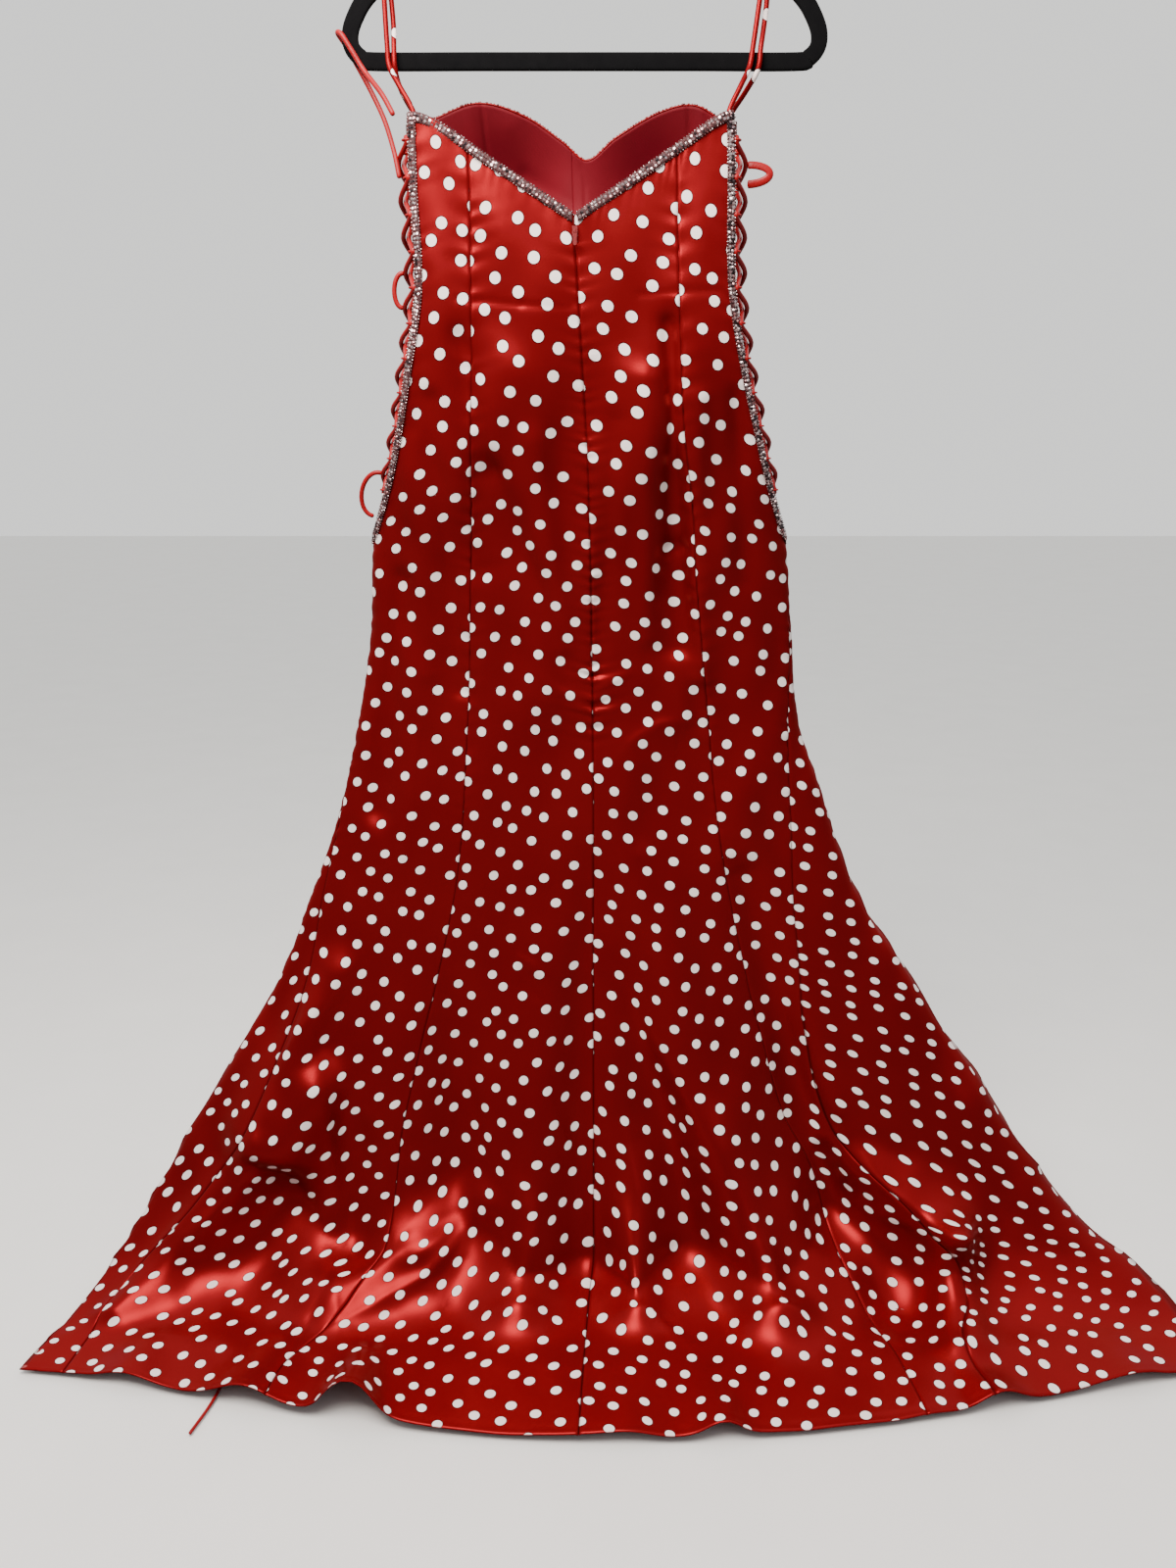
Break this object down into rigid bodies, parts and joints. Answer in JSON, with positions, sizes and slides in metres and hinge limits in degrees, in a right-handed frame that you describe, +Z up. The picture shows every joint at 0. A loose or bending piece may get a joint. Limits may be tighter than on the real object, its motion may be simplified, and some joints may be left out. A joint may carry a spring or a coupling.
{
  "type": "formal gown on hanger",
  "caption": "Floor-length trumpet gown hung from a flat hanger, back outward: V back, laced side openings, spaghetti straps, seamed flared skirt with a small train.",
  "frame": {"origin": "inside top of the hanger's hook, where it rests on a rail", "axes": "+Z up; -Y is the gown's back, which faces the viewer; X runs along the hanger"},
  "size_m": [1.264, 0.4563, 1.5121],
  "materials": {
    "dotted_satin": "glossy red satin with white dots",
    "crimson_lining": "matte crimson lining",
    "rhinestones": "rows of faceted stones in metal cups",
    "flock": "black velvet flock over plastic",
    "bright_steel": "polished wire",
    "zip_metal": "red enamelled metal"
  },
  "bodies": {
    "gown": {"back_centre_left": "dotted_satin", "back_centre_right": "dotted_satin", "back_side_left": "dotted_satin", "back_side_right": "dotted_satin", "front_centre": "dotted_satin", "front_side_left": "dotted_satin", "front_side_right": "dotted_satin", "lining_left": "crimson_lining", "lining_right": "crimson_lining", "picot_edge": "crimson_lining", "neck_trim_left": "rhinestones", "neck_trim_right": "rhinestones", "side_trim_left": "rhinestones", "side_trim_right": "rhinestones", "strap_left": "dotted_satin", "strap_right": "dotted_satin", "lace_left_a": "dotted_satin", "lace_left_b": "dotted_satin", "lace_right_a": "dotted_satin", "lace_right_b": "dotted_satin", "lace_loop_left": "dotted_satin", "lace_bow_left": "dotted_satin", "lace_bow_right": "dotted_satin", "lace_catch": "dotted_satin", "lace_tail": "dotted_satin", "zip_slider": "zip_metal", "hanger_body": "flock", "hanger_hook": "bright_steel"},
    "pull_tab": {"zip_pull": "zip_metal"}
  },
  "joints": [
    {"name": "pull_tab_swing", "type": "hinge", "parent": "gown", "child": "pull_tab", "pos_m": [-0.00924, -0.03322, -0.37], "axis": [-1, 0, 0], "range_deg": [0, 150]}
  ]
}
